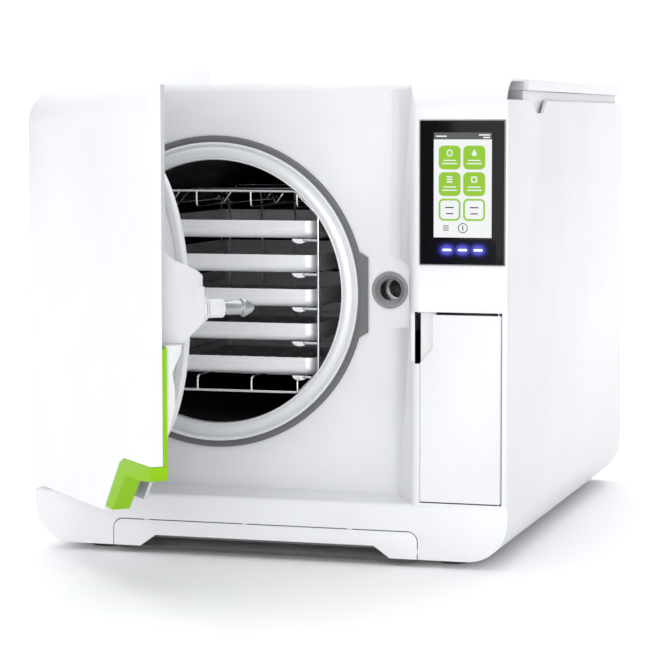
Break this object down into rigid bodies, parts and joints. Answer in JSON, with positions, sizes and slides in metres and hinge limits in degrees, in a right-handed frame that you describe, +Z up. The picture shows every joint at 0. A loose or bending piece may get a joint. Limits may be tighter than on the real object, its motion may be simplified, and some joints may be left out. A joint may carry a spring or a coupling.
{
  "type": "benchtop autoclave",
  "caption": "Benchtop steam autoclave with a swing door, round chamber, tray rack, touch display column, service door and top tank lid.",
  "frame": {"origin": "on the bench under the centre of the outline with the door standing open 51 degrees", "axes": "+Z up, +Y from the front into the machine, +X to the right seen from the front"},
  "size_m": [0.477, 0.8625, 0.452],
  "materials": {
    "white_plastic": "satin moulded",
    "light_plastic": "fine grain",
    "green_plastic": "satin moulded",
    "dark_rubber": "matte",
    "silicone": "matte",
    "grey_plastic": "satin",
    "black_plastic": "satin",
    "red_plastic": "satin",
    "black_glass": "polished",
    "screen": "lit",
    "circuit_board": "solder mask",
    "polished_steel": "circular brush",
    "bright_steel": "turned",
    "wire_chrome": "polished",
    "tray_aluminium": "satin",
    "sheet_steel": "galvanised",
    "heater_alloy": "heat tinted",
    "felt": "needled fibre",
    "brass": "turned",
    "copper_pipe": "drawn tube",
    "tank_plastic": "natural"
  },
  "bodies": {
    "machine": {"base_tray": "white_plastic", "levelling_feet": "dark_rubber", "front_panel": "white_plastic", "left_side_panel": "white_plastic", "right_side_panel": "white_plastic", "rear_panel": "sheet_steel", "case_screws": "bright_steel", "mains_inlet": "black_plastic", "water_ports": "brass", "safety_valve": "brass", "tank_deck": "light_plastic", "service_bay": "light_plastic", "drain_couplings": "brass", "service_door_pin": "bright_steel", "display_glass": "black_glass", "lcd_panel": "screen", "display_board": "circuit_board", "chamber_vessel": "polished_steel", "chamber_ring": "polished_steel", "chamber_trim": "dark_rubber", "heater_band": "heater_alloy", "insulation": "felt", "chamber_frame": "sheet_steel", "lock_bushing": "grey_plastic", "lock_motor": "black_plastic", "hinge_brackets": "sheet_steel", "hinge_pins": "bright_steel", "steam_generator": "sheet_steel", "pipework": "copper_pipe", "vacuum_pump": "black_plastic", "condenser": "sheet_steel", "clean_water_tank": "tank_plastic", "used_water_tank": "tank_plastic", "control_board": "circuit_board"},
    "door": {"door_cover": "white_plastic", "door_liner": "light_plastic", "door_hinge_frame": "sheet_steel", "pressure_plate": "polished_steel", "door_seal": "silicone", "lock_block": "light_plastic", "locking_pin": "bright_steel", "door_handle": "green_plastic", "grip_back": "white_plastic"},
    "lid": {"tank_lid": "white_plastic"},
    "filter_drawer": {"filter_drawer": "white_plastic", "dust_filter": "grey_plastic"},
    "service_door": {"service_door": "white_plastic"},
    "air_filter": {"bacteria_filter": "grey_plastic"},
    "rocker": {"power_rocker": "black_plastic"},
    "reset": {"reset_button": "red_plastic"},
    "catch": {"lock_catch": "bright_steel"},
    "fan": {"fan_rotor": "black_plastic"},
    "clean_cap": {"clean_tank_cap": "grey_plastic"},
    "used_cap": {"used_tank_cap": "grey_plastic"},
    "rack": {"rack": "wire_chrome"},
    "tray_1": {"tray_1": "tray_aluminium"},
    "tray_2": {"tray_2": "tray_aluminium"},
    "tray_3": {"tray_3": "tray_aluminium"},
    "tray_4": {"tray_4": "tray_aluminium"},
    "tray_5": {"tray_5": "tray_aluminium"}
  },
  "joints": [
    {"name": "door_hinge", "type": "hinge", "parent": "machine", "child": "door", "pos_m": [-0.209, -0.1427, 0.25], "axis": [0, 0, -1], "range_deg": [-51, 50]},
    {"name": "lid_hinge", "type": "hinge", "parent": "machine", "child": "lid", "pos_m": [0.006, 0.4183, 0.438], "axis": [-1, 0, 0], "range_deg": [0, 80]},
    {"name": "filter_drawer_slide", "type": "slide", "parent": "machine", "child": "filter_drawer", "axis": [0, -1, 0], "range_m": [0, 0.15]},
    {"name": "service_door_hinge", "type": "hinge", "parent": "machine", "child": "service_door", "pos_m": [0.2294, -0.1651, 0.148], "axis": [0, 0, 1], "range_deg": [0, 100]},
    {"name": "air_filter_turn", "type": "hinge", "parent": "machine", "child": "air_filter", "pos_m": [0.194, -0.1077, 0.19], "axis": [0, 1, 0], "range_deg": [0, 90]},
    {"name": "power_rocker_tilt", "type": "hinge", "parent": "machine", "child": "rocker", "pos_m": [0.178, -0.0767, 0.128], "axis": [0, 0, -1], "range_deg": [0, 14]},
    {"name": "reset_press", "type": "slide", "parent": "machine", "child": "reset", "axis": [0, 1, 0], "range_m": [0, 0.002], "stiffness_N_per_m": 300},
    {"name": "lock_catch_turn", "type": "hinge", "parent": "machine", "child": "catch", "pos_m": [0.111, -0.0727, 0.251], "axis": [0, 1, 0], "range_deg": [0, 90]},
    {"name": "fan_spin", "type": "hinge", "parent": "machine", "child": "fan", "pos_m": [0.156, 0.3823, 0.13], "axis": [0, 1, 0], "continuous": true},
    {"name": "clean_cap_turn", "type": "hinge", "parent": "machine", "child": "clean_cap", "pos_m": [0.156, 0.0223, 0.432], "axis": [0, 0, 1], "range_deg": [0, 90]},
    {"name": "used_cap_turn", "type": "hinge", "parent": "machine", "child": "used_cap", "pos_m": [0.156, 0.2823, 0.432], "axis": [0, 0, 1], "range_deg": [0, 90]},
    {"name": "rack_slide", "type": "slide", "parent": "machine", "child": "rack", "axis": [0, -1, 0], "range_m": [0, 0.04]},
    {"name": "tray_1_slide", "type": "slide", "parent": "rack", "child": "tray_1", "axis": [0, -1, 0], "range_m": [0, 0.04]},
    {"name": "tray_2_slide", "type": "slide", "parent": "rack", "child": "tray_2", "axis": [0, -1, 0], "range_m": [0, 0.04]},
    {"name": "tray_3_slide", "type": "slide", "parent": "rack", "child": "tray_3", "axis": [0, -1, 0], "range_m": [0, 0.04]},
    {"name": "tray_4_slide", "type": "slide", "parent": "rack", "child": "tray_4", "axis": [0, -1, 0], "range_m": [0, 0.04]},
    {"name": "tray_5_slide", "type": "slide", "parent": "rack", "child": "tray_5", "axis": [0, -1, 0], "range_m": [0, 0.04]}
  ]
}
